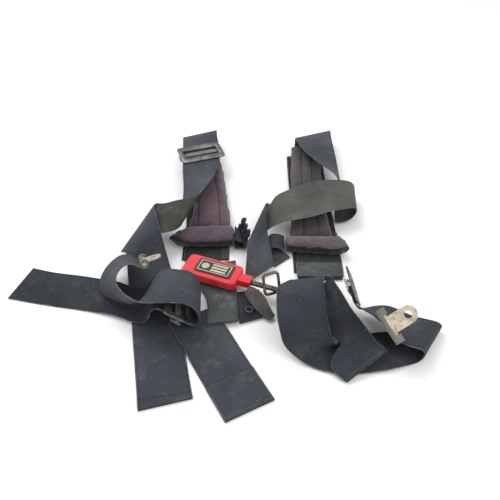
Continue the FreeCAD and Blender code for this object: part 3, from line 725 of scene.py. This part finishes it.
def pad_start(name, ribbon, thickness, material, crown=0.30):
    """Closed pad shape round a ribbon, thick in the middle and thin at its edges and ends."""
    rows = np.linspace(0.5, ribbon.length - 0.5, int(ribbon.length / 5))
    columns = np.linspace(-0.98, 0.98, 15)
    a, s = np.meshgrid(columns, rows)
    ends = 1 - np.abs(2 * s / ribbon.length - 1) ** 14
    full = thickness / 2 * np.sqrt(np.maximum(0.02, (1 - np.abs(a) ** 5 * 0.85) * ends))
    upper = ribbon.surface(a, s, full * (1 + crown * (1 - a**2)) - crown * thickness / 4)
    lower = ribbon.surface(a, s, -full)
    count, cols = a.shape
    points = np.concatenate([upper.reshape(-1, 3), lower.reshape(-1, 3)])
    shift = count * cols
    faces = []
    for r in range(count - 1):
        for c in range(cols - 1):
            quad = (r * cols + c, r * cols + c + 1, (r + 1) * cols + c + 1, (r + 1) * cols + c)
            faces.append(quad)
            faces.append(tuple(shift + i for i in reversed(quad)))
        for c in (0, cols - 1):
            side = (r * cols + c, (r + 1) * cols + c, shift + (r + 1) * cols + c, shift + r * cols + c)
            faces.append(side if c else side[::-1])
    for r in (0, count - 1):
        for c in range(cols - 1):
            side = (r * cols + c, shift + r * cols + c, shift + r * cols + c + 1, r * cols + c + 1)
            faces.append(side if r else side[::-1])
    return new_object(name, points, faces, [material])


def ribbon_place(ribbon, points):
    """Across and along of points in mm, by the nearest station of the ribbon's middle."""
    rows = np.arange(0, ribbon.length, 2.0)
    left, right = ribbon.surface(-1, rows), ribbon.surface(1, rows)
    middle = (left + right) / 2
    gaps = np.linalg.norm(points[:, None, :2] - middle[None, :, :2], axis=2)
    nearest = gaps.argmin(axis=1)
    side = right[nearest] - left[nearest]
    width = np.linalg.norm(side, axis=1)
    across = ((points - middle[nearest]) * side).sum(axis=1) / width
    return across, rows[nearest], across / (width / 2)


def finish_soft(mesh, points, cloth, material):
    """Puts a pad's points, in mm, its place on the cloth and its material on the mesh."""
    mesh.vertices.foreach_set("co", (points * MM).ravel())
    set_cloth(mesh, cloth)
    mesh.materials.clear()
    mesh.materials.append(material)
    mesh.polygons.foreach_set("use_smooth", [True] * len(mesh.polygons))
    mesh.update()


def sewn_pad(name, stations, thickness, material, seams, cap):
    """Padded shoulder pad with sewn channels along it."""
    ribbon = Ribbon(stations)
    pad = pad_start(name, ribbon, thickness, material)
    remeshed(pad, 0.005)
    puff(pad, cap)
    subdivided(pad)
    mesh = pad.data
    points = np.array([v.co for v in mesh.vertices]) / MM
    normals = np.array([v.normal for v in mesh.vertices])
    across, along, share = ribbon_place(ribbon, points)
    depth = np.zeros(len(points))
    for seam in seams:
        line = np.interp(along / ribbon.length, [0, 0.5, 1], seam)
        depth += 3.2 * np.exp(-(((share - line) * 40 / 4.5) ** 2))
    crease = np.array([noise.noise(Vector(p * 0.035)) for p in points])
    points[:, 2] -= depth * np.clip(normals[:, 2] * 1.6, 0, 1)
    points += normals * (crease * 1.2)[:, None]
    points[:, 2] = np.maximum(points[:, 2], 4.4)
    cloth = np.stack([across * MM, along * MM, np.abs(share)], axis=1)
    finish_soft(mesh, points, cloth, material)
    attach(pad, "webbing")
    return pad, ribbon


def seam_thread(name, pad, ribbon, seam, material, radius=0.7):
    """Rounded seam cord that follows a pad's top."""
    tree = BVHTree.FromObject(pad, bpy.context.evaluated_depsgraph_get())
    rows = np.arange(6.0, ribbon.length - 6, 4.0)
    shares = np.interp(rows / ribbon.length, [0, 0.5, 1], seam)
    line = []
    for x, y, _ in ribbon.surface(shares, rows):
        hit = tree.ray_cast(Vector((x * MM, y * MM, 0.2)), Vector((0, 0, -1)))[0]
        if hit:
            line.append(hit + Vector((0, 0, radius * 0.5 * MM)))
    return tube(name, line, radius, material)


def tube(name, line, radius, material, cyclic=False):
    """Bevelled curve through points in metres, turned into a mesh."""
    curve = bpy.data.curves.new(name, "CURVE")
    curve.dimensions = "3D"
    curve.bevel_depth = radius * MM
    curve.bevel_resolution = 3
    spline = curve.splines.new("NURBS")
    spline.points.add(len(line) - 1)
    for point, place in zip(spline.points, line):
        point.co = (*place, 1)
    spline.order_u = 3
    spline.use_endpoint_u = not cyclic
    spline.use_cyclic_u = cyclic
    made = bpy.data.objects.new(name, curve)
    bpy.context.scene.collection.objects.link(made)
    graph = bpy.context.evaluated_depsgraph_get()
    mesh = bpy.data.meshes.new_from_object(made.evaluated_get(graph))
    bpy.data.objects.remove(made)
    mesh.materials.clear()
    mesh.materials.append(material)
    mesh.polygons.foreach_set("use_smooth", [True] * len(mesh.polygons))
    obj = bpy.data.objects.new(name, mesh)
    bpy.context.scene.collection.objects.link(obj)
    return obj


SEAMS = {
    "left_shoulder_pad": ((-0.55, -0.45, -0.5), (0.42, 0.38, 0.30)),
    "right_shoulder_pad": ((-0.30, -0.28, -0.25), (0.35, 0.22, 0.30)),
}
for name, stations in PADS.items():
    cloth = left_cloth if name.startswith("left") else right_cloth
    pad, ribbon = sewn_pad(name, stations, PAD_T, cloth, SEAMS[name], cap=PUFF)
    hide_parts(name + "_cover", name + "_foam")
    for i, seam in enumerate(SEAMS[name]):
        cord = seam_thread(f"{name}_seam_{i}", pad, ribbon, seam, piping)
        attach(cord, "webbing")


def rolled_cuff(name, corners, low_z, thickness, material, node, cap=PUFF):
    """Rolled and stuffed end of a pad: a bolster between its outline's corners."""
    outline = np.array(corners, float)
    low, high = outline[:, 0].min(), outline[:, 0].max()
    lefts = np.linspace(low + 1.5, high - 1.5, 40)
    closed = np.vstack([outline, outline[:1]])
    points = []
    for x in lefts:
        crossings = []
        for (x0, y0), (x1, y1) in zip(closed, closed[1:]):
            if (x0 - x) * (x1 - x) <= 0 and x0 != x1:
                crossings.append(y0 + (y1 - y0) * (x - x0) / (x1 - x0))
        front, back = min(crossings), max(crossings)
        half_y, mid_y = max(1.5, (back - front) / 2 - 1.2), (front + back) / 2
        half_z = thickness / 2 * min(1.0, 0.30 + half_y / 14)
        for k in range(16):
            turn = 2 * math.pi * k / 16
            y, z = math.cos(turn), math.sin(turn)
            squarer = (abs(y) ** 3 + abs(z) ** 3) ** (-1 / 3)
            high_z = low_z + thickness * 0.48 + half_z * z * squarer * 0.94
            points.append((x, mid_y + half_y * y * squarer, high_z))
    faces = []
    for i in range(len(lefts) - 1):
        for k in range(16):
            a, b = i * 16 + k, i * 16 + (k + 1) % 16
            faces.append((a, b, b + 16, a + 16))
    faces.append(tuple(range(15, -1, -1)))
    last = (len(lefts) - 1) * 16
    faces.append(tuple(range(last, last + 16)))
    cuff = new_object(name, np.array(points) + SHIFT, faces, [material])
    remeshed(cuff, 0.004)
    puff(cuff, cap)
    subdivided(cuff)
    mesh = cuff.data
    places = np.array([v.co for v in mesh.vertices]) / MM
    normals = np.array([v.normal for v in mesh.vertices])
    fold = np.array([noise.noise(Vector((p[0] * 0.11, p[1] * 0.035, p[2] * 0.05))) for p in places])
    fold += 0.5 * np.array([noise.noise(Vector(p * 0.16)) for p in places])
    places += normals * (fold * 1.7)[:, None]
    crease = np.exp(-(((places[:, 2] - low_z - thickness * 0.30) / 1.6) ** 2))
    places -= normals * (crease * 1.6)[:, None]
    places[:, 2] = np.maximum(places[:, 2], low_z - 0.3)
    cloth = np.stack([places[:, 0] * MM, places[:, 2] * MM, np.zeros(len(places))], axis=1)
    finish_soft(mesh, places, cloth, material)
    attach(cuff, "webbing")
    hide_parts(node)
    return cuff


def torn_lip(name, cuff, y_low, ends, material):
    """Frayed fold that runs along the front of a rolled cuff."""
    tree = BVHTree.FromObject(cuff, bpy.context.evaluated_depsgraph_get())
    line = []
    for x in np.arange(ends[0], ends[1], 3.0):
        height = 13.0 + 2.6 * noise.noise(Vector((x * 0.09, y_low, 0)))
        height += 1.2 * noise.noise(Vector((x * 0.4, 1, 0)))
        start = Vector((x * MM, (y_low - 60) * MM, height * MM))
        hit = tree.ray_cast(start, Vector((0, 1, 0)))[0]
        if hit:
            line.append(hit)
    lip = tube(name, line, 0.75, material)
    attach(lip, "webbing")


LEFT_CUFF = [(-94, 6), (-62, -14), (18, -12), (24, -6), (22, 37), (-56, 33)]
RIGHT_CUFF = [(109, -14), (116, -26), (200, -34), (223, -25), (206, 5), (112, 6)]
left_roll = rolled_cuff("left_cuff_roll", LEFT_CUFF, CUFF_LOW, CUFF_T, left_cuff_cloth, "left_pad_cuff")
right_roll = rolled_cuff(
    "right_cuff_roll", RIGHT_CUFF, CUFF_LOW, CUFF_T, right_cuff_cloth, "right_pad_cuff"
)
torn_lip("left_cuff_lip", left_roll, -8, (-82, 18), piping_pale)
torn_lip("right_cuff_lip", right_roll, -24, (116, 214), piping_pale)

# ---- liners and hip panels ----------------------------------------------------------------------
PANELS = {
    "left_pad_liner": (web_shaded, 0.7, "liner",
        [((-68, 56, 0.7), (14, 56, 0.7)), ((-68, -34, 0.7), (14, -34, 0.7))]),
    "right_pad_liner": (web_shaded, 0.7, "liner",
        [((124, 40, 0.7), (208, 40, 0.7)), ((124, -66, 0.7), (208, -66, 0.7))]),
    "left_hip_panel": (panel_cloth, 4.4, "panel_webbing",
        [((-60, -62, 7.9), (26, -44, 7.9)), ((-38, -100, 7.9), (28, -90, 7.9)),
         ((-24, -122, 7.9), (29, -120, 7.9)), ((-16, -187, 7.9), (32, -180, 7.9))]),
    "tongue_webbing": (web_shaded, 1.7, "webbing",
        [((27, -118, 6.6), (65, -112, 7.2)), ((29, -148, 6.4), (67, -142, 6.4)),
         ((34, -181, 3.0), (71, -168, 2.8))]),
    "right_hip_panel": (panel_cloth, 2.6, "panel_webbing",
        [((128, -46, 6.2), (206, -46, 6.2)), ((128, -80, 6.2), (206, -80, 6.2))]),
}
for name, (material, thickness, slot, stations) in PANELS.items():
    ribbon = Ribbon(stations)
    width = float(np.linalg.norm(np.subtract(*stations[0])))
    panel = web_object(name + "_web", ribbon, thickness, (material, material), width=width, ripple=0.2)
    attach(panel, "webbing")
    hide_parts(name)
    if slot == "panel_webbing":
        e = ribbon.length
        rows = [((-0.9, 5), (0.9, 5)), ((-0.9, e - 5), (0.9, e - 5)), ((-0.9, 5), (-0.9, e - 5)),
                ((0.9, 5), (0.9, e - 5)), ((-0.9, 5), (0.9, e - 5)), ((0.9, 5), (-0.9, e - 5))]
        thread(name + "_stitches", ribbon, rows, thread_dark, thickness / 2 + 0.15)


def paint(material, *names):
    """New material on CAD nodes whose shape is right."""
    for node in names:
        mesh = nodes[node].data
        mesh.materials.clear()
        mesh.materials.append(material)


paint(bracket_steel, "left_bracket", "right_bracket")
paint(latch_steel, "latch_lever", "latch_base", "latch_hinge_pin", "latch_hook")
paint(red_rubber, "lever_sleeve")
paint(badge_black, "sleeve_badge")
paint(emblem_paint, "badge_emblem")
paint(black_plastic, "chest_buckle", "chest_prong_left", "chest_prong_right", "tongue_ring")
paint(tongue_hide, "latch_tongue")
paint(web_tan, "left_bracket_loop", "right_bracket_loop")


def axes(along, across):
    """Unit axes of a piece of hardware: across the webbing, along it and up."""
    x = Vector(across).normalized()
    y = Vector(along)
    y = (y - x * y.dot(x)).normalized()
    return x, y, x.cross(y)


SLIDES = {
    "left_shoulder_slide": ((-49.2, 242, 41.05), (-0.071, 1, 0.036), (72, 25, 0)),
    "left_lap_slide": ((-61, -156, 28.5), (0.79, 0.04, -0.61), (0.055, -0.998, 0)),
    "right_lap_slide": ((202, -158, 58), (-0.245, 0.797, 0.552), (0.234, 0.601, -0.764)),
}
for name, (centre, along, across) in SLIDES.items():
    side, forward, _ = axes(along, across)
    place = tuple((np.array(centre) + SHIFT) * MM)
    steel = metal_material(
        name + "_knurl", (0.16, 0.165, 0.165), (0.26, 0.26, 0.25), (0.09, 0.075, 0.06), 0.36,
        knurl=(place, tuple(side), tuple(forward)),
    )
    paint(steel, name + "_bar")

def stamped_frame(name, centre, along, across, outer, window, thickness, corner):
    """Flat stamped frame with round corners and a window, its edges rolled over."""
    side, forward, up = axes(along, across)
    middle = Vector((np.array(centre) + SHIFT) * MM) + up * 3.7 * MM
    turns = [math.radians(t) for quarter in (0, 90, 180, 270) for t in range(quarter, quarter + 91, 15)]

    def ring(half_x, half_y, radius, height):
        points = []
        for k, turn in enumerate(turns):
            quarter = k // 7
            sx = 1 if quarter in (0, 3) else -1
            sy = 1 if quarter in (0, 1) else -1
            x = sx * (half_x - radius) + radius * math.cos(turn)
            y = sy * (half_y - radius) + radius * math.sin(turn)
            points.append(middle + (side * x + forward * y + up * height) * MM)
        return points

    ox, oy = outer[0] / 2, outer[1] / 2
    wx, wy = window[0] / 2, window[1] / 2
    half, roll = thickness / 2, 0.8
    profile = [
        (ox, oy, corner, half - roll), (ox - roll, oy - roll, corner, half),
        (wx + roll, wy + roll, 2.4, half),
        (wx, wy, 1.8, half - roll), (wx, wy, 1.8, roll - half), (wx + roll, wy + roll, 2.4, -half),
        (ox - roll, oy - roll, corner, -half), (ox, oy, corner, roll - half),
    ]
    rings = [ring(*values) for values in profile]
    points = [np.array(p) / MM for line in rings for p in line]
    count = len(turns)
    faces = []
    for i in range(len(rings)):
        nxt = (i + 1) % len(rings)
        for k in range(count):
            m = (k + 1) % count
            faces.append((i * count + k, i * count + m, nxt * count + m, nxt * count + k))
    return new_object(name, np.array(points), faces, [slide_steel])


def grip_bar(name, centre, along, across, length, material):
    """Half-round knurled bar that shows in a slide's window."""
    side, forward, up = axes(along, across)
    middle = np.array(centre) + SHIFT + np.array(up) * 2.4
    points = []
    for x in np.linspace(-length / 2, length / 2, 30):
        taper = math.sqrt(max(0.05, 1 - abs(2 * x / length) ** 10))
        for k in range(14):
            turn = 2 * math.pi * k / 14
            y, z = 5.6 * taper * math.cos(turn), 1.7 * taper * math.sin(turn)
            points.append(middle + np.array(side) * x + np.array(forward) * y + np.array(up) * z)
    faces = []
    for i in range(29):
        for k in range(14):
            a, b = i * 14 + k, i * 14 + (k + 1) % 14
            faces.append((a, b, b + 14, a + 14))
    faces.append(tuple(range(13, -1, -1)))
    faces.append(tuple(range(29 * 14, 30 * 14)))
    return new_object(name, points, faces, [material])


def bail_ring():
    """Bent wire ring of the latch, a rounded rectangle round the lever's end."""
    side, forward, _ = axes((-0.1, 0.33, 0.94), (0.93, 0.37, 0))
    centre = Vector((np.array((85.0, -123.5, 22.0)) + SHIFT) * MM)
    half_width, low, top, bend = 12.6, -9.0, 26.0, 5.5
    corners = [
        (half_width, top, 0), (-half_width, top, 90), (-half_width, low, 180), (half_width, low, 270),
    ]
    line = []
    for x, y, start in corners:
        inner = (x - math.copysign(bend, x), y - math.copysign(bend, y - 8))
        for turn in (0, 22.5, 45, 67.5, 90):
            angle = math.radians(start + turn)
            place = (inner[0] + bend * math.cos(angle), inner[1] + bend * math.sin(angle))
            line.append(centre + (side * place[0] + forward * place[1]) * MM)
    return tube("latch_bail_wire", line, 2.4, rusty_wire, cyclic=True)


for name, (centre, along, across) in SLIDES.items():
    plate = stamped_frame(
        name + "_plate", centre, along, across, SLIDE_PLATE, SLIDE_WINDOW, SLIDE_PLATE_T, 6.5
    )
    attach(plate, name)
    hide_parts(name + "_frame")
    knurled = nodes[name + "_bar"].data.materials[0]
    grip = grip_bar(name + "_grip", centre, along, across, GRIP_LENGTH, knurled)
    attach(grip, name)

bail = bail_ring()
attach(bail, "latch_bail")
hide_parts("latch_bail")

# ---- floor, light and camera --------------------------------------------------------------------
FLOOR_SIZE = 8.0
corners = np.array([(-1, -1, 0), (1, -1, 0), (1, 1, 0), (-1, 1, 0)]) * FLOOR_SIZE / 2 / MM
floor = new_object("floor", corners, [(0, 1, 2, 3)], [])
floor_paint = Nodes("floor_paint")
grain = floor_paint.mix(floor_paint.noise(3.0), (0.90, 0.90, 0.90), (0.93, 0.93, 0.93))
floor.data.materials.append(floor_paint.finish(grain, 0.9, specular=0.1))


def softbox(name, place, size, power):
    """Square area light that looks at the harness."""
    data = bpy.data.lights.new(name, "AREA")
    data.size = size
    data.energy = power
    light = bpy.data.objects.new(name, data)
    light.location = place
    light.rotation_euler = (-Vector(place)).to_track_quat("-Z", "Y").to_euler()
    bpy.context.scene.collection.objects.link(light)


softbox("key", (-0.7, 0.9, 1.8), 1.4, 24.0)
softbox("fill", (1.2, -1.2, 1.9), 2.0, 20.0)
world = bpy.data.worlds.new("studio")
world.use_nodes = True
world.node_tree.nodes["Background"].inputs["Color"].default_value = (1.0, 1.0, 1.0, 1.0)
world.node_tree.nodes["Background"].inputs["Strength"].default_value = 0.75
bpy.context.scene.world = world
bpy.context.scene.view_settings.view_transform = "Standard"

CAMERA_PLACE = np.array((50.0, -800.0, 695.0))
PITCH = 41.2
camera_data = bpy.data.cameras.new("camera")
camera_data.sensor_width = 36.0
camera_data.lens = 43.2
camera = bpy.data.objects.new("camera", camera_data)
camera.location = (CAMERA_PLACE + SHIFT) * MM
camera.rotation_euler = (math.radians(90 - PITCH), 0, 0)
bpy.context.scene.collection.objects.link(camera)
bpy.context.scene.camera = camera
